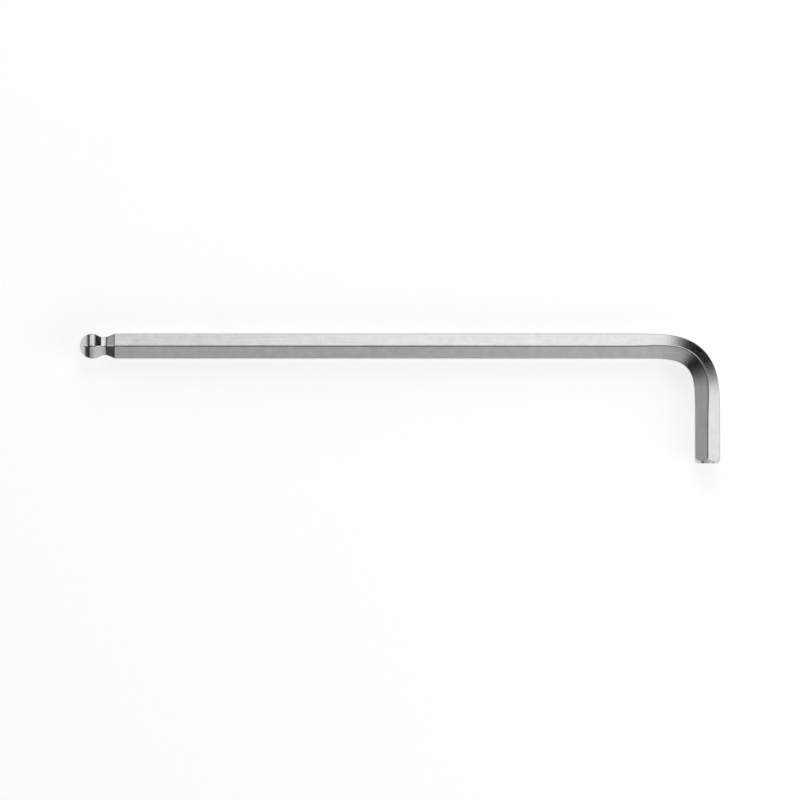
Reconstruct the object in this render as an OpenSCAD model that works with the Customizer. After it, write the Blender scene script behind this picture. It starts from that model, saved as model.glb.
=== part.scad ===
// Hex key: a six-sided steel bar bent once through a right angle. The long arm ends
// in a ball that still drives a socket when the key is tilted, the short arm in a
// plain chamfered end.
//
// The key lies flat. The long arm runs along X with its ball toward -X, and the short
// arm points toward -Y. The bar rests on a corner, so one of its flats faces into the
// bend and the opposite one faces out of it.
// Origin: the middle of the bounding box in X and Y, at the height that the key lies on.

/* [Arms] */
// Length of the long arm, from the nose of the ball to the outside of the short arm
long_arm = 202; // [150:1:240]
// Length of the short arm, from its end face to the outside of the long arm
short_arm = 41; // [34:1:60]

/* [Bar] */
// Width of the bar across opposite flats
across_flats = 8; // [7:0.1:9]
// Radius that rounds the corners of the bar
corner_r = 0.5; // [0.2:0.1:0.8]

/* [Bend] */
// Length of the bar's axis over which it turns through the right angle
bend_length = 45; // [40:1:56]
// How much the bar is drawn thinner at the middle of the bend, as a share of its width
bend_thinning = 0.02; // [0:0.01:0.06]
// How far the middle of the bend carries the top and bottom corners outward
ridge_shift = 0.65; // [0:0.05:1]

/* [Ball end] */
// How much narrower the ball is than the bar, so that it can tilt in a socket
ball_clearance = 0.04; // [0.02:0.01:0.2]
// How far the small flat on the nose lies behind the tip of the full round
nose_flat = 0.05; // [0.03:0.01:0.2]
// Distance from the nose to the end of the neck's taper, where the bar is full again
taper_end = 11.6; // [11:0.1:14]
// Angle of the neck's tapered facets to the bar's axis
taper_angle = 22.8; // [20:0.1:26]
// Angle at which the neck still narrows behind the ball
neck_angle = 11; // [5:0.1:15]
// Width across the facets where the neck starts behind the ball
neck_start_across = 6.3; // [5.8:0.1:6.8]
// Radius of the hollow between the neck and its taper
neck_r = 2; // [0.8:0.1:2.4]
// How much farther from the nose each next pair of facets is cut
pair_step = 0.02; // [0.01:0.01:0.05]

/* [Plain end] */
// Diameter of the flat end face inside the chamfer
end_face_d = 7; // [6:0.1:7.5]
// Angle of the turned chamfer to the bar's axis
chamfer_angle = 33; // [25:1:50]

/* [Hidden] */

steel = [0.72, 0.73, 0.72];

SMOOTH = 96;
CORNERS = 6;
PAIR_TURNS = [0, 60, 120];
CORNER_STEPS = 3;
BEND_STEPS = 28;
HOLLOW_STEPS = 6;

// The bar: centre to flat, centre to the middles of the corner roundings, and centre to
// corner, where the steps of a rounding leave a narrow flat
half_flats = across_flats / 2;
rounding_place = (half_flats - corner_r) / cos(30);
corner_reach = rounding_place + corner_r * cos(30 / CORNER_STEPS);

// The axes of the two arms cross at [axis_x, axis_y]
nose_x = -long_arm / 2;
end_y = -short_arm / 2;
axis_x = long_arm / 2 - half_flats;
axis_y = short_arm / 2 - half_flats;
axis_z = corner_reach;

// Curvature grows from nothing at either end of the bend to its most in the middle, as
// the fourth power of a sine. Its sum is the angle turned, part being the share of the
// bend's length that lies behind.
function turned(part) = 90 * (part - 2 * sin(360 * part) / (3 * PI) + sin(720 * part) / (12 * PI));
function along(angle) = [cos(angle), -sin(angle)];
function outward(angle) = [sin(angle), cos(angle)];

// The axis through the bend, from where it leaves the long arm
bend_step = bend_length / BEND_STEPS;
bend_axis = [for (i = 0, place = [0, 0];
    i <= BEND_STEPS;
    place = place + bend_step * along(turned((i + 0.5) / BEND_STEPS)), i = i + 1) place];
bend_run = bend_axis[BEND_STEPS].x;
bend_start = [axis_x - bend_run, axis_y];

// Section of the bar as [outward, up], one arc of points for each corner
section = [for (corner = [0 : CORNERS - 1], step = [0 : CORNER_STEPS])
    let (middle = 360 * (corner + 0.5) / CORNERS, turn = middle + 60 * (step / CORNER_STEPS - 0.5))
        rounding_place * [cos(middle), sin(middle)] + corner_r * [cos(turn), sin(turn)]];

// The section where the bend has the given share of its greatest effect: a little
// thinner, with the top and the bottom corner carried outward. The facets beside them
// lean, and the flats that face into the bend and out of it stay upright.
function lean(height) = max(0, 2 * abs(height) / corner_reach - 1);
function bent_section(share) = [for (point = section)
    [point.x * (1 - bend_thinning * share) + ridge_shift * share * lean(point.y), point.y]];

// Rings of points along the bar: nose, bend and end face
function ring(place, angle, outline) = [for (point = outline)
    let (spot = place + point.x * outward(angle)) [spot.x, spot.y, axis_z + point.y]];
rings = concat(
    [ring([nose_x, axis_y], 0, section)],
    [for (i = [0 : BEND_STEPS])
        let (effect = pow(sin(180 * i / BEND_STEPS), 2))
            ring(bend_start + bend_axis[i], turned(i / BEND_STEPS), bent_section(effect))],
    [ring([axis_x, end_y], 90, section)]);

// The ball, with x counted from the nose
ball_r = half_flats - ball_clearance / 2;
ball_x = ball_r - nose_flat;

// The neck starts where the ball's circle has come down to its height
neck_start = [ball_x + sqrt(pow(ball_r, 2) - pow(neck_start_across / 2, 2)), neck_start_across / 2];
taper_top = [taper_end, half_flats];

// Where the neck's two slopes would meet if no hollow softened them
neck_low_x = (neck_start.y - taper_top.y + taper_top.x * tan(taper_angle) + neck_start.x * tan(neck_angle))
    / (tan(taper_angle) + tan(neck_angle));
neck_low = [neck_low_x, taper_top.y - (taper_top.x - neck_low_x) * tan(taper_angle)];

// Middle of the hollow, which touches both slopes
hollow_turn = (taper_angle - neck_angle) / 2;
hollow_reach = neck_r / cos((taper_angle + neck_angle) / 2);
hollow_middle = neck_low + hollow_reach * [-sin(hollow_turn), cos(hollow_turn)];
hollow_arc = [for (step = [0 : HOLLOW_STEPS])
    let (turn = -neck_angle + step * (taper_angle + neck_angle) / HOLLOW_STEPS)
        hollow_middle + neck_r * [sin(turn), -cos(turn)]];

// Cutters reach past the bar by this much
past = across_flats;

// Past the taper's end the facets' cutter leaves the bar and stops this much farther on
facet_run_out = 1;

// The whole bar before its ends are cut, swept from the nose round the bend
module swept_bar() {
    count = len(section);
    last = len(rings) - 1;
    sides = [for (i = [0 : last - 1], j = [0 : count - 1])
        let (next = (j + 1) % count)
            [i * count + j, (i + 1) * count + j, (i + 1) * count + next, i * count + next]];
    start_face = [for (j = [0 : count - 1]) j];
    end_face = [for (j = [count - 1 : -1 : 0]) last * count + j];
    polyhedron(points = [for (loop = rings) each loop], faces = concat([start_face], sides, [end_face]));
}

// What one pair of facets leaves of the long arm, seen from its side, nose at the origin.
// The neck's slope starts inside the ball's circle.
module side_profile() {
    inside = neck_start - ball_r / 4 * [1, -tan(neck_angle)];
    far = taper_top + past * [1, tan(taper_angle)];
    upper = concat([inside], hollow_arc, [far]);
    lower = [for (i = [len(upper) - 1 : -1 : 0]) [upper[i].x, -upper[i].y]];
    translate([ball_x, 0])
        circle(r = ball_r, $fn = SMOOTH);
    polygon(concat(upper, lower));
}

// What one pair of facets takes off the long arm. With all three pairs cut, each section
// of the ball and the neck is a hexagon. The pairs are cut one after another, a small step
// apart, so their creases don't run into each other at the corners.
module pair_waste(pair) {
    translate([pair * pair_step, 0, 0])
        rotate([PAIR_TURNS[pair], 0, 0])
            linear_extrude(height = 2 * past, center = true)
                difference() {
                    translate([-past, -past])
                        square([past + taper_end + facet_run_out, 2 * past]);
                    side_profile();
                }
}

// What the chamfer takes off the short arm, end face at the origin and the arm along +Z
module chamfer_waste() {
    face_r = end_face_d / 2;
    rotate_extrude($fn = SMOOTH)
        polygon([[face_r, 0], [past, 0], [past, (past - face_r) / tan(chamfer_angle)]]);
}

module hex_key() {
    color(steel)
        difference() {
            swept_bar();
            translate([nose_x, axis_y, axis_z])
                for (pair = [0 : len(PAIR_TURNS) - 1])
                    pair_waste(pair);
            translate([axis_x, end_y, axis_z])
                rotate([-90, 0, 0])
                    chamfer_waste();
        }
}

hex_key();
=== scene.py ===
# %% [markdown]
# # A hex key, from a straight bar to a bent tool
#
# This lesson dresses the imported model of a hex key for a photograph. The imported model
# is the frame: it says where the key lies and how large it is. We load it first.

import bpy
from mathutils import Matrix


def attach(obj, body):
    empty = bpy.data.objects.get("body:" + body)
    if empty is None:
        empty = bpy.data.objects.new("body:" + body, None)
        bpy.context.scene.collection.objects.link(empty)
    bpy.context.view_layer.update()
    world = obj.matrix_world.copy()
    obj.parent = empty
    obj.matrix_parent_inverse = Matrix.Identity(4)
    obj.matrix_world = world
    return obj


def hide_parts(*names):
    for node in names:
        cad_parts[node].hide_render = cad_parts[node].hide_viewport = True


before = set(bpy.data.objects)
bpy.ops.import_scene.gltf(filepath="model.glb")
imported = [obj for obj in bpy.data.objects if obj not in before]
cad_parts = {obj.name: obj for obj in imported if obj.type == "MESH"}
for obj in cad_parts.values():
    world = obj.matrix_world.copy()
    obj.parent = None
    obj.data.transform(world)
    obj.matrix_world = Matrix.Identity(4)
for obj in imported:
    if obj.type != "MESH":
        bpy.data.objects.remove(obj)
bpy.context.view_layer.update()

# %% [markdown]
# ## The real key and its sizes
#
# A hex key starts as a straight bar of drawn steel with six flats. One end is cut into a
# ball with a neck behind it, the other end gets a turned chamfer, and then the bar is
# bent once and plated. We follow the same order, because a straight bar is easy to shape
# and the bend is only one step at its end. All sizes are in millimetres while we work.

# %% Sizes of the straight bar
import math

import bmesh
import bpy
import numpy as np
from mathutils import Matrix, Vector

across_flats = 8.0
half_flats = across_flats / 2
sharp_reach = half_flats / math.cos(math.radians(30))
corner_radius = 0.55
corner_steps = 5

long_arm = 202.0
short_arm = 41.0
bend_length = 45.0

# one millimetre in metres, for the end
mm = 0.001

print("the bar is", across_flats, "mm across its flats")
print("across sharp corners it would be", round(2 * sharp_reach, 2), "mm")

# %% [markdown]
# ## The side of the ball end
#
# Seen from the side, the ball end is a chain of arcs and straight lines: the round of
# the ball, a straight slope behind it, a crease, the neck, a hollow, and a taper up to
# the full bar. We could list its points by hand. It is shorter to walk along it like a
# turtle, which knows its place and its heading and either goes straight or turns on an
# arc.

# %% Two ways to walk
def walk_arc(path, radius, turn, step=3.0):
    """Adds an arc to the path, a point for each step; degrees, positive to the left."""
    x, y, heading = path[-1]
    side = math.copysign(radius, turn)
    middle_x = x - side * math.sin(math.radians(heading))
    middle_y = y + side * math.cos(math.radians(heading))
    count = max(2, math.ceil(abs(turn) / step))
    for i in range(1, count + 1):
        now = math.radians(heading + turn * i / count)
        x = middle_x + side * math.sin(now)
        y = middle_y - side * math.cos(now)
        path.append((x, y, math.degrees(now)))


def walk_line(path, rise):
    """Goes straight on until the path has risen by that much."""
    x, y, heading = path[-1]
    path.append((x + rise / math.tan(math.radians(heading)), y + rise, heading))


walked = [(0.0, 0.0, 0.0)]
walk_arc(walked, 1.0, 90)
print("a quarter turn to the left at radius 1 ends at", [round(c, 3) for c in walked[-1]])

# %% [markdown]
# ## The walk itself
#
# Now each call is one arc or one line, in order from the flat on the nose to the full
# bar. The ball is almost as wide as the bar, so that it still fills the socket when the
# key is tilted. Slopes are in degrees to the bar's axis, and heights are counted from
# that axis.

# %% Walk along the side of the ball end
ball_radius = 3.98
nose_flat = 0.05
ball_slope = 26.5
neck_slope = 8.0
neck_fall = 0.11
taper_slope = 22.8
crease_height = 3.03
crease_radius = 0.25
hollow_radius = 2.2
crest_radius = 1.5

nose_turn = math.degrees(math.acos((ball_radius - nose_flat) / ball_radius))
side_path = [(0.0, ball_radius * math.sin(math.radians(nose_turn)), 90.0 - nose_turn)]
walk_arc(side_path, ball_radius, -(90 - nose_turn) - ball_slope)
walk_line(side_path, crease_height - side_path[-1][1])
walk_arc(side_path, crease_radius, ball_slope - neck_slope)
walk_line(side_path, -neck_fall)
neck_start = side_path[-1][0]
walk_arc(side_path, hollow_radius, neck_slope + taper_slope)
taper_start = side_path[-1][0]
crest_rise = crest_radius * (1 - math.cos(math.radians(taper_slope)))
walk_line(side_path, half_flats - crest_rise - side_path[-1][1])
walk_arc(side_path, crest_radius, -taper_slope)
ball_end_length = side_path[-1][0]

side_x = [point[0] for point in side_path]
side_y = [point[1] for point in side_path]
neck_width = 2 * float(np.interp(neck_start, side_x, side_y))
print("the ball end is", round(ball_end_length, 2), "mm long")
print("its neck is", round(neck_width, 2), "mm across where the hollow starts")

# %% [markdown]
# ## The blank
#
# The blank is a hexagon that is drawn out into a bar. `create_circle` with six segments
# gives the hexagon, and a vertex bevel rounds its corners. The face then stays as the
# small flat on the nose, and its edges are extruded again and again into rings, so that
# each ring can take the size that the side path has there.

# %% Hexagon with rounded corners
bar = bmesh.new()
upright = Matrix.Rotation(math.radians(90), 4, "Z") @ Matrix.Rotation(math.radians(90), 4, "X")
hexagon = bmesh.ops.create_circle(
    bar,
    cap_ends=True,
    segments=6,
    radius=sharp_reach,
    matrix=upright,
)
bmesh.ops.bevel(
    bar,
    geom=hexagon["verts"],
    offset=corner_radius * math.tan(math.radians(30)),
    offset_type="OFFSET",
    segments=corner_steps,
    profile=0.5,
    affect="VERTICES",
    material=-1,
)
reach = max(v.co.z for v in bar.verts)
print("the section has", len(bar.verts), "corners and reaches", round(reach, 4), "mm from the axis")

# %% [markdown]
# ## The stations
#
# A station is a distance from the nose at which the bar gets a ring. The ball needs them
# close together, and the bend needs one for every degree or two. The straight taper and
# the arms need none: with rings on the taper its flats would not shade evenly. The real
# bend has no sudden start, so its curvature grows slowly and falls again.

# %% Stations along the bar
axis_x = long_arm / 2 - half_flats
axis_y = short_arm / 2 - half_flats
bend_steps = 64
close_from = 3.0
close_step = 0.12
least_gap = 0.02


def turned(share):
    """Degrees turned once that share of the bend's length is behind.

    The curvature goes as the fourth power of a sine.
    """
    slow_wave = 2 * math.sin(2 * math.pi * share) / (3 * math.pi)
    fast_wave = math.sin(4 * math.pi * share) / (12 * math.pi)
    return 90 * (share - slow_wave + fast_wave)


bend_axis = [Vector((0, 0, 0))]
for i in range(bend_steps):
    heading = math.radians(turned((i + 0.5) / bend_steps))
    ahead = Vector((math.cos(heading), -math.sin(heading), 0))
    bend_axis.append(bend_axis[-1] + bend_length / bend_steps * ahead)

bend_start = long_arm / 2 + axis_x - bend_axis[-1].x
bend_end = bend_start + bend_length
bar_length = bend_end + axis_y + bend_axis[-1].y + short_arm / 2

ball_stations = sorted(side_x + list(np.arange(close_from, taper_start, close_step)))
bend_stations = [bend_start + bend_length * i / bend_steps for i in range(bend_steps + 1)]
stations = [0.0]
for x in ball_stations + [ball_end_length] + bend_stations + [bar_length]:
    if x - stations[-1] > least_gap:
        stations.append(x)
print(len(stations), "stations; the straight bar is", round(bar_length, 2), "mm long")

# %% [markdown]
# ## Draw the bar out
#
# `extrude_edge_only` grows the next ring, and the transforms give it its place and size.
# The real ball end was cut with a slight lean, so its neck starts a little earlier on
# the outer side than on the inner one. Above and below the axis we scale the ring to the
# height of the side path, and we scale its two sides apart, with the cut's lean.

# %% Grow ring after ring
cut_lean = 0.22
lean_start = 3.9
# in millimetres, less than any real distance
hair = 1e-6


def side_height(x, shift=0.0):
    """Height of the side at x; the shift comes and goes between the ball and the taper."""
    share = min(max((x - lean_start) / (taper_start - lean_start), 0), 1)
    wave = math.sin(math.pi * share) ** 2
    return float(np.interp(x + shift * wave, side_x, side_y))


def fit_ring(verts, x, before):
    """Scales a ring that has the size of the station before to the size of station x."""
    for side in (1, -1):
        half = [v for v in verts if v.co.y * side > hair]
        grow = side_height(x, side * cut_lean) / side_height(before, side * cut_lean)
        bmesh.ops.scale(bar, verts=half, vec=(1, grow, 1))
    grow = side_height(x) / side_height(before)
    bmesh.ops.scale(bar, verts=verts, vec=(1, 1, grow))


nose_size = side_height(0) / half_flats
bmesh.ops.scale(bar, verts=bar.verts[:], vec=(1, nose_size, nose_size))
edge_ring = bar.edges[:]
for before, x in zip(stations, stations[1:]):
    grown = bmesh.ops.extrude_edge_only(bar, edges=edge_ring)["geom"]
    ring = [g for g in grown if isinstance(g, bmesh.types.BMVert)]
    grown_edges = [g for g in grown if isinstance(g, bmesh.types.BMEdge)]
    edge_ring = [edge for edge in grown_edges if set(edge.verts) <= set(ring)]
    fit_ring(ring, x, before)
    bmesh.ops.translate(bar, verts=ring, vec=(x - before, 0, 0))
bmesh.ops.edgeloop_fill(bar, edges=edge_ring)
print("the straight bar has", len(bar.faces), "faces")

# %% [markdown]
# ## The chamfer of the plain end
#
# On the real key the chamfer is turned, so it is a cone that meets the flats in
# scallops. We could use a boolean with a cone. Here the bar is cut with one flat plane
# after another, each tangent to the cone, and the hole of each cut is filled. That leaves
# clean planar faces.

# %% Turn the chamfer
end_face_radius = 3.5
chamfer_slope = math.radians(33.0)
chamfer_cuts = 72
# in millimetres: the bend's last ring is still taken along, and corners that lie closer
# than the merge distance become one
end_margin = 1e-3
merge_distance = 1e-4

for i in range(chamfer_cuts):
    around = 2 * math.pi * (i + 0.5) / chamfer_cuts
    radial = Vector((0, math.cos(around), math.sin(around)))
    normal = math.sin(chamfer_slope) * Vector((1, 0, 0)) + math.cos(chamfer_slope) * radial
    rim = Vector((bar_length, 0, 0)) + end_face_radius * radial
    near = [v for v in bar.verts if v.co.x > bend_end - end_margin]
    near_set = set(near)
    edges = [e for e in bar.edges if set(e.verts) <= near_set]
    faces = [f for f in bar.faces if set(f.verts) <= near_set]
    cut = bmesh.ops.bisect_plane(
        bar,
        geom=near + edges + faces,
        dist=hair,
        plane_co=rim,
        plane_no=normal,
        clear_outer=True,
    )
    open_edges = [e for e in cut["geom_cut"] if isinstance(e, bmesh.types.BMEdge)]
    bmesh.ops.edgeloop_fill(bar, edges=open_edges)
bmesh.ops.remove_doubles(bar, verts=bar.verts[:], dist=merge_distance)
bmesh.ops.recalc_face_normals(bar, faces=bar.faces[:])
open_count = sum(not e.is_manifold for e in bar.edges)
print("after the chamfer:", len(bar.faces), "faces,", open_count, "open edges")

# %% [markdown]
# ## Bend it
#
# Before the bend each vertex writes down where it lies on the straight bar. The grain of
# the steel runs along the bar, so the material can follow this attribute round the bend.
# Then each ring is thinned a little, its top and bottom corners are carried outward as
# the steel flows, and it is turned and moved to its place on the bent axis.

# %% Remember the straight bar, then bend it
outer_thinning = 0.05
inner_swelling = 0.01
ridge_shift = 0.7

straight = bar.verts.layers.float_vector.new("straight")
for v in bar.verts:
    v[straight] = v.co * mm


def bend_ring(verts, share):
    """Shapes one ring of the bend; share is how far round the bend it lies."""
    effect = math.sin(math.pi * share) ** 2
    outer = [v for v in verts if v.co.y > 0]
    inner = [v for v in verts if v.co.y < 0]
    bmesh.ops.scale(bar, verts=outer, vec=(1, 1 - outer_thinning * effect, 1))
    bmesh.ops.scale(bar, verts=inner, vec=(1, 1 + inner_swelling * effect, 1))
    slant = 2 * ridge_shift * effect / reach
    for side in (1, -1):
        shear = Matrix.Identity(4)
        shear[1][2] = side * slant
        shear[1][3] = -slant * reach / 2
        high = [v for v in verts if v.co.z * side > reach / 2]
        bmesh.ops.transform(bar, verts=high, matrix=shear)


def to_bend(i, station):
    """Carries a station of the straight bar to the end of step i of the bent axis."""
    place = Vector((bend_start, 0, 0)) + bend_axis[i]
    turn = Matrix.Rotation(math.radians(-turned(i / bend_steps)), 4, "Z")
    return Matrix.Translation(place) @ turn @ Matrix.Translation((-station, 0, 0))


rings = {}
for v in bar.verts:
    step = round((v.co.x - bend_start) / bend_length * bend_steps)
    rings.setdefault(step, []).append(v)
for i in range(1, bend_steps):
    bend_ring(rings[i], i / bend_steps)
    bmesh.ops.transform(bar, verts=rings[i], matrix=to_bend(i, bend_stations[i]))
short_length = [v for step, verts in rings.items() if step >= bend_steps for v in verts]
bmesh.ops.transform(bar, verts=short_length, matrix=to_bend(bend_steps, bend_end))
print("the bend turns", round(turned(1), 1), "degrees in", bend_steps, "steps")

# %% [markdown]
# ## Put it in its place
#
# The key was made along its own axis, with the nose at zero. Now it moves to where the
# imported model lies, with its axis at the same height above the sheet, and shrinks from
# millimetres to metres. The mesh carries all of that, so the object itself stays at the
# origin.

# %% Make the bar an object
axis_z = 4.533855
bmesh.ops.translate(bar, verts=bar.verts[:], vec=(-long_arm / 2, axis_y, axis_z))
bmesh.ops.scale(bar, verts=bar.verts[:], vec=(mm, mm, mm))

mesh = bpy.data.meshes.new("hex_key_bar")
bar.to_mesh(mesh)
bar.free()
hex_key_bar = bpy.data.objects.new("hex_key_bar", mesh)
bpy.context.scene.collection.objects.link(hex_key_bar)
low = [round(min(v.co[i] for v in mesh.vertices), 5) for i in range(3)]
high = [round(max(v.co[i] for v in mesh.vertices), 5) for i in range(3)]
print("the bent key reaches from", low, "to", high)

# %% [markdown]
# ## Smooth rounds, flat flats
#
# The rounds should shade smoothly and the flats should stay flat. Smooth shading alone
# would bend the light on a flat next to its rounded corner, so a Weighted Normal modifier
# lets the large faces decide, and the creases of the ends are marked sharp.

# %% Shade the bar
# a step of a corner rounding turns 12 degrees and stays smooth, the chamfer's edge 33
crease_angle = 16
# at 50 all faces would count alike, above it the large ones count more
flat_weight = 80

for polygon in mesh.polygons:
    polygon.use_smooth = True
mesh.set_sharp_from_angle(angle=math.radians(crease_angle))
weighted = hex_key_bar.modifiers.new("flat flats", "WEIGHTED_NORMAL")
weighted.mode = "FACE_AREA"
weighted.weight = flat_weight
weighted.keep_sharp = True
print("edges over", crease_angle, "degrees are sharp on the bar's", len(mesh.polygons), "faces")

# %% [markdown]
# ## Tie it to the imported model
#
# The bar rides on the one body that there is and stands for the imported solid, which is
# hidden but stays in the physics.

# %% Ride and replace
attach(hex_key_bar, "root")
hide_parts("hex_key")
print(hex_key_bar.name, "stands for the packed hex_key")

# %% [markdown]
# ## Two helpers
#
# Colours are picked as sRGB hex codes while Blender reckons in linear light, so one
# function turns them. The other adds a node with its settings and links in one go, and a
# material then reads as a list of what it is made of.

# %% A helper for colours and one for nodes
def linear(code):
    """An sRGB hex colour as linear red, green, blue and alpha."""
    shares = [int(code[i : i + 2], 16) / 255 for i in (1, 3, 5)]
    return [s / 12.92 if s <= 0.04045 else ((s + 0.055) / 1.055) ** 2.4 for s in shares] + [1.0]


def add_node(tree, kind, links=None, **settings):
    """Adds a node and feeds its inputs from links.

    Settings are properties, or inputs by name with _ for a space, or by number as in _1.
    """
    node = tree.nodes.new(kind)
    for key, value in settings.items():
        if hasattr(node, key):
            setattr(node, key, value)
        else:
            slot = int(key[1:]) if key[1:].isdigit() else key.replace("_", " ")
            node.inputs[slot].default_value = value
    for key, source in (links or {}).items():
        tree.links.new(source, node.inputs[key])
    return node


print("mid grey #808080 is", round(linear("#808080")[0], 3), "in linear light")

# %% [markdown]
# ## Patterns of the plate
#
# The key is chrome-vanadium steel under a thin satin chrome plate. Three patterns make
# its skin: drawing lines along the bar, clouds in the plate, and pebbles where the bend
# has stretched the steel. We could use Object coordinates, but the lines would then run
# straight on where the bar turns. So the patterns read the place on the straight bar.

# %% Lines, clouds and pebbles
satin = bpy.data.materials.new("satin_chrome_plate")
satin.use_nodes = True
tree = satin.node_tree
tree.nodes.clear()
place = add_node(tree, "ShaderNodeAttribute", attribute_name="straight").outputs["Vector"]

# drawing lines run 15 mm or more along the bar; the real ones are finer than a pixel of
# the picture, so these are drawn 0.4 mm wide
line_length = 0.015
line_width = 0.0004
line_scale = (1 / line_length, 1 / line_width, 1 / line_width)
line_place = add_node(tree, "ShaderNodeMapping", {"Vector": place}, Scale=line_scale)
lines = add_node(
    tree,
    "ShaderNodeTexNoise",
    {"Vector": line_place.outputs[0]},
    Scale=1.0,
    Detail=2.0,
    Roughness=0.6,
)

# clouds in the plate are about 3 mm across
cloud_size = 0.003
clouds = add_node(
    tree,
    "ShaderNodeTexNoise",
    {"Vector": place},
    Scale=1 / cloud_size,
    Detail=3.0,
    Roughness=0.6,
)

# pebbles of the stretched skin are about 0.35 mm across
pebble_size = 0.00035
pebbles = add_node(
    tree,
    "ShaderNodeTexNoise",
    {"Vector": place},
    Scale=1 / pebble_size,
    Detail=2.0,
    Roughness=0.5,
)
print("in metres: lines", line_width, "wide, clouds", cloud_size, "and pebbles", pebble_size)

# %% [markdown]
# ## Where the skin is stretched
#
# The pebbles belong to the bend alone and come and go softly. The first number of the
# place on the straight bar is the distance from the nose, so two Map Range nodes turn it
# into a mask that is 1 in the bend and 0 on the arms.

# %% Mask of the bend
skin_starts = bend_start + 4
skin_full = bend_start + 16
skin_fades = bend_end - 19
skin_gone = bend_end - 10

along = add_node(tree, "ShaderNodeSeparateXYZ", {"Vector": place}).outputs["X"]
into_bend = add_node(
    tree,
    "ShaderNodeMapRange",
    {"Value": along},
    interpolation_type="SMOOTHSTEP",
    From_Min=skin_starts * mm,
    From_Max=skin_full * mm,
)
out_of_bend = add_node(
    tree,
    "ShaderNodeMapRange",
    {"Value": along},
    interpolation_type="SMOOTHSTEP",
    From_Min=skin_fades * mm,
    From_Max=skin_gone * mm,
    To_Min=1.0,
    To_Max=0.0,
)
in_bend = add_node(
    tree,
    "ShaderNodeMath",
    {0: into_bend.outputs["Result"], 1: out_of_bend.outputs["Result"]},
    operation="MULTIPLY",
)
print("stretched skin from", round(skin_starts, 1), "to", round(skin_gone, 1), "mm along the bar")

# %% [markdown]
# ## Satin chrome
#
# The eye gets a nearly neutral metal whose flats mirror the room softly. Lines and clouds
# shift its tone and its roughness by a little, lines and pebbles make its bumps. All of
# it feeds one Principled shader with Metallic at 1.

# %% Tone of the satin chrome
line_share = 0.45

mottle = add_node(
    tree,
    "ShaderNodeMix",
    {"A": clouds.outputs["Fac"], "B": lines.outputs["Fac"]},
    Factor=line_share,
)
tint = add_node(
    tree,
    "ShaderNodeMix",
    {"Factor": mottle.outputs[0]},
    data_type="RGBA",
    _6=linear("#AEB0AF"),
    _7=linear("#E0E2E1"),
)
print("lines make", line_share, "of the mottle and clouds the rest")

# %% [markdown]
# ## Gloss of the chrome
#
# Satin plate is polished, but not to a mirror. Noise keeps mostly between 0.3 and 0.7, so
# Map Range stretches that part to the wanted roughness. The clouds give most of it, and
# the lines add or take away a little.

# %% Gloss
noise_low = 0.3
noise_high = 0.7
least_rough = 0.15
most_rough = 0.19
line_effect = 0.02

rough_clouds = add_node(
    tree,
    "ShaderNodeMapRange",
    {"Value": clouds.outputs["Fac"]},
    From_Min=noise_low,
    From_Max=noise_high,
    To_Min=least_rough,
    To_Max=most_rough,
)
rough_lines = add_node(
    tree,
    "ShaderNodeMapRange",
    {"Value": lines.outputs["Fac"]},
    From_Min=noise_low,
    From_Max=noise_high,
    To_Min=-line_effect,
    To_Max=line_effect,
)
roughness = add_node(
    tree,
    "ShaderNodeMath",
    {0: rough_clouds.outputs["Result"], 1: rough_lines.outputs["Result"]},
    operation="ADD",
)

print("roughness", round(least_rough - line_effect, 2), "to", round(most_rough + line_effect, 2))

# %% [markdown]
# ## Bumps, and all in one shader
#
# Bumps break the edges of what the flats mirror. The line bump feeds the pebble bump, so
# that both add up in one normal. Real displacement would need a far finer mesh for
# bumps that stay smaller than a pixel.

# %% Bumps and the shader
# real lines are only thousandths of a millimetre deep; these are drawn deeper, because
# they are drawn wider too
line_depth = 0.00002
pebble_depth = 0.00004

line_bump = add_node(
    tree,
    "ShaderNodeBump",
    {"Height": lines.outputs["Fac"]},
    Strength=0.5,
    Distance=line_depth,
)
pebble_height = add_node(
    tree,
    "ShaderNodeMath",
    {0: pebbles.outputs["Fac"], 1: in_bend.outputs[0]},
    operation="MULTIPLY",
)
pebble_bump = add_node(
    tree,
    "ShaderNodeBump",
    {"Height": pebble_height.outputs[0], "Normal": line_bump.outputs[0]},
    Strength=1.0,
    Distance=pebble_depth,
)

metal = add_node(
    tree,
    "ShaderNodeBsdfPrincipled",
    {
        "Base Color": tint.outputs[2],
        "Roughness": roughness.outputs[0],
        "Normal": pebble_bump.outputs[0],
    },
    Metallic=1.0,
)
add_node(tree, "ShaderNodeOutputMaterial", {"Surface": metal.outputs[0]})
mesh.materials.append(satin)
print("satin chrome has", len(tree.nodes), "nodes")

# %% [markdown]
# ## The sheet below
#
# The key lies on a plain white sheet, which keeps the key's shadow. It isn't part of the
# key, and it is so large that no view sees its edge.

# %% Sheet
sheet_reach = 8.0
sheet_mesh = bpy.data.meshes.new("white_sheet")
sheet = bmesh.new()
bmesh.ops.create_grid(sheet, x_segments=1, y_segments=1, size=sheet_reach)
sheet.to_mesh(sheet_mesh)
sheet.free()
white_sheet = bpy.data.objects.new("white_sheet", sheet_mesh)
bpy.context.scene.collection.objects.link(white_sheet)
print("the sheet is", round(white_sheet.dimensions.x, 1), "m wide")

# %% [markdown]
# ## White paper
#
# Paper is matt, with faint fibres. Lit by the soft boxes alone it would come out light
# grey. Stronger lamps would also burn out the metal, so a share of the white is the
# paper's own glow. Only camera, mirror and glass rays see it: the metal shows the same
# white that we do, and the sheet sends no extra light to the key.

# %% White paper
paper = bpy.data.materials.new("white_paper")
paper.use_nodes = True
tree = paper.node_tree
tree.nodes.clear()
sheet_glow = 0.65
fibre_size = 0.002

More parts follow.
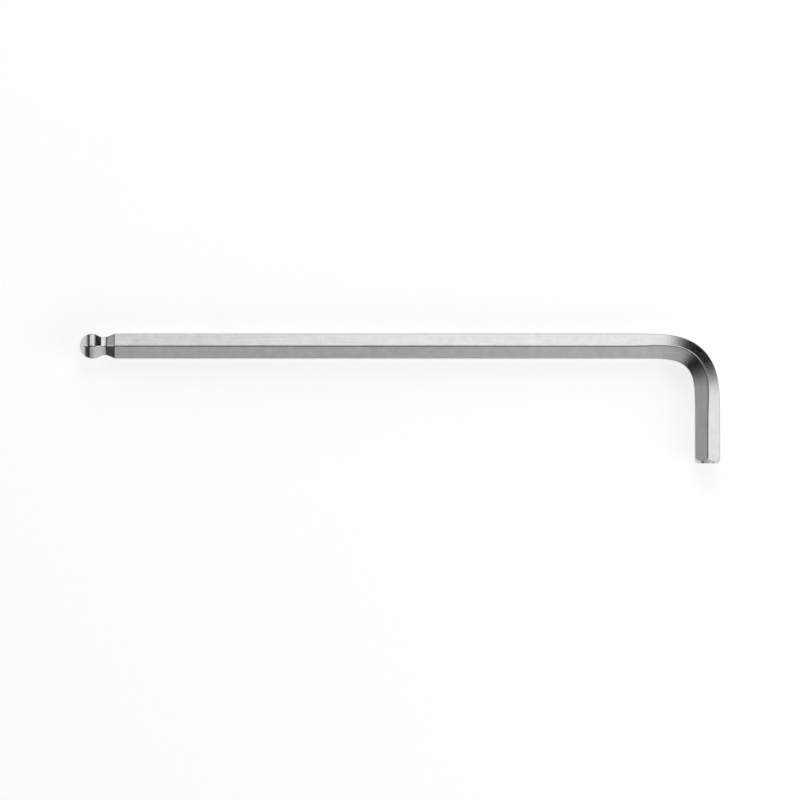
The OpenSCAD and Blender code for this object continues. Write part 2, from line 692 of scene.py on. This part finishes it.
rays = add_node(tree, "ShaderNodeLightPath").outputs
camera_or_mirror = add_node(
    tree,
    "ShaderNodeMath",
    {0: rays["Is Camera Ray"], 1: rays["Is Glossy Ray"]},
    operation="MAXIMUM",
)
seen = add_node(
    tree,
    "ShaderNodeMath",
    {0: camera_or_mirror.outputs[0], 1: rays["Is Transmission Ray"]},
    operation="MAXIMUM",
)
glow = add_node(tree, "ShaderNodeMath", {0: seen.outputs[0]}, operation="MULTIPLY", _1=sheet_glow)
own = add_node(tree, "ShaderNodeEmission", {"Strength": glow.outputs[0]}, Color=(1, 1, 1, 1))

sheet_place = add_node(tree, "ShaderNodeTexCoord").outputs["Object"]
fibres = add_node(
    tree,
    "ShaderNodeTexNoise",
    {"Vector": sheet_place},
    Scale=1 / fibre_size,
    Detail=2.0,
)
paper_tint = add_node(
    tree,
    "ShaderNodeMix",
    {"Factor": fibres.outputs["Fac"]},
    data_type="RGBA",
    _6=linear("#E2E2E1"),
    _7=linear("#E6E6E6"),
)
matt = add_node(tree, "ShaderNodeBsdfDiffuse", {"Color": paper_tint.outputs[2]})

both = add_node(tree, "ShaderNodeAddShader", {0: matt.outputs[0], 1: own.outputs[0]})
add_node(tree, "ShaderNodeOutputMaterial", {"Surface": both.outputs[0]})
sheet_mesh.materials.append(paper)
print("white paper has", len(tree.nodes), "nodes")

# %% [markdown]
# ## A soft box
#
# Metal shows its surroundings, so its light is a matter of what stands where. A soft box
# is an area light. Its brightness counts here, not its power, because the facets mirror
# it. The power of an area light is its brightness times its area times pi.

# %% Make and hang soft boxes
wall_distance = 1.04
aim_height = 0.005
hung = []


def soft_box(name, centre, aim, width, height, strength):
    """A soft box that looks at the aim; strength is the brightness of its own surface."""
    light = bpy.data.lights.new(name, "AREA")
    light.shape = "RECTANGLE"
    light.size = width
    light.size_y = height
    light.energy = strength * width * height * math.pi
    lamp = bpy.data.objects.new(name, light)
    lamp.location = centre
    lamp.rotation_euler = (Vector(aim) - Vector(centre)).to_track_quat("-Z", "Y").to_euler()
    lamp.visible_camera = False
    bpy.context.scene.collection.objects.link(lamp)
    hung.append(lamp)


def soft_row(name, axis, side, middle, height, strips):
    """Hangs a row along one wall; a strip is its start, its end and its strength."""
    for number, (start, end, strength) in enumerate(strips):
        spot = (start + end) / 2
        if axis == "y":
            centre = (spot, side * wall_distance, middle)
            aim = (spot, 0, aim_height)
        else:
            centre = (side * wall_distance, spot, middle)
            aim = (0, spot, aim_height)
        soft_box(f"{name}_{number}", centre, aim, end - start, height, strength)


print("the walls stand", wall_distance, "m from the key")

# %% [markdown]
# ## The small room of light
#
# The boxes hang in rows round the key, like the walls of a small room. The long arm's
# upper facets mirror the row behind and its lower facets the row in front. The short arm
# mirrors the rows at the sides. The gaps between the rows are the dark bands on the ball
# and the bend. Where a dark band begins softly, the row fades out in weaker strips.

# %% Rows behind and in front
# each strip: where it starts, where it ends, its strength
behind = [
    (-0.50, -0.05, 1.03),
    (-0.05, 0.24, 1.34),
    (0.24, 0.36, 0.76),
    (0.36, 0.47, 0.38),
    (0.47, 0.60, 0.15),
]
front = [
    (-1.20, -0.93, 0.08),
    (-0.60, -0.50, 0.13),
    (-0.50, -0.38, 0.45),
    (-0.38, 0.03, 0.55),
    (0.03, 0.22, 0.67),
]

# name, axis that the wall stands across, its side, middle and height of the row, strips
soft_row("behind", "y", 1, 0.60, 0.80, behind)
soft_row("front", "y", -1, 0.60, 0.75, front)
soft_row("front_right", "y", -1, 0.55, 0.95, [(0.22, 1.45, 0.83)])
print(len(hung), "soft boxes and strips hang behind and in front")

# %% [markdown]
# ## The two sides of the room
#
# The right wall fades out towards the back, the left one towards both of its ends. Low
# rows stand almost on the sheet. Only the steep facets of the ball mirror them.

# %% Rows at the sides
right = [
    (-0.66, 0.05, 1.32),
    (0.05, 0.13, 0.95),
    (0.13, 0.22, 0.55),
    (0.22, 0.31, 0.33),
    (0.31, 0.41, 0.20),
    (0.41, 0.55, 0.09),
]
left = [
    (-0.13, 0.25, 0.50),
    (-0.22, -0.13, 0.36),
    (-0.32, -0.22, 0.24),
    (-0.45, -0.32, 0.15),
    (-0.62, -0.45, 0.09),
]
left_back = [
    (0.28, 0.88, 1.20),
    (0.88, 1.02, 0.80),
    (1.02, 1.14, 0.50),
    (1.14, 1.30, 0.28),
]
soft_row("right", "x", 1, 0.60, 0.90, right)
soft_row("left", "x", -1, 0.60, 0.75, left)
soft_row("left_back", "x", -1, 0.38, 0.74, left_back)
soft_row("low_left", "x", -1, 0.11, 0.20, [(-0.89, -0.03, 0.20)])
soft_row("low_front", "y", -1, 0.09, 0.16, [(-0.95, -0.45, 0.35)])
print("with the sides there are", len(hung))

# %% [markdown]
# ## Light from above
#
# One box draws the bright line along the ridge of the bend. It hangs to the right and
# behind, so the ridge of the long arm doesn't mirror it and stays dark. A weak box
# overhead lifts that dark a little.

# %% Boxes above
# name, centre, aim, width, height, strength
soft_box("above_bend", (0.45, 0.75, 1.25), (0.45, 0, aim_height), 0.70, 0.80, 1.50)
soft_box("overhead", (0, 0, 1.80), (0, 0, aim_height), 1.20, 1.20, 0.40)
print(len(hung), "soft boxes and strips hang round the key in all")

# %% [markdown]
# ## The dark beyond
#
# What the boxes leave open is a dark studio. It isn't quite black, because some light
# always comes back from the walls of a real one.

# %% Dark studio
world = bpy.data.worlds.new("dark_studio")
world.use_nodes = True
background = world.node_tree.nodes["Background"]
background.inputs["Color"].default_value = linear("#202020")
bpy.context.scene.world = world
print("the studio's dark is", round(background.inputs["Color"].default_value[0], 4))

# %% [markdown]
# ## Camera
#
# The photograph looks straight down on the key from far away through a long lens, so
# the camera hangs three metres above it. Its lens follows from the width that the frame
# has to show.

# %% Camera
camera_height = 3.0
shown_width = 0.2524
# the middle of the picture lies this far from the middle of the key
beside = 0.00003
in_front = -0.0005

lens = bpy.data.cameras.new("long_lens")
lens.sensor_width = 36.0
lens.lens = lens.sensor_width * (camera_height - axis_z * mm) / shown_width
lens.clip_end = 100.0
camera = bpy.data.objects.new("camera", lens)
camera.location = (beside, in_front, camera_height)
bpy.context.scene.collection.objects.link(camera)
bpy.context.scene.camera = camera
bpy.context.scene.view_settings.view_transform = "Standard"
print("the lens has", round(lens.lens), "mm")
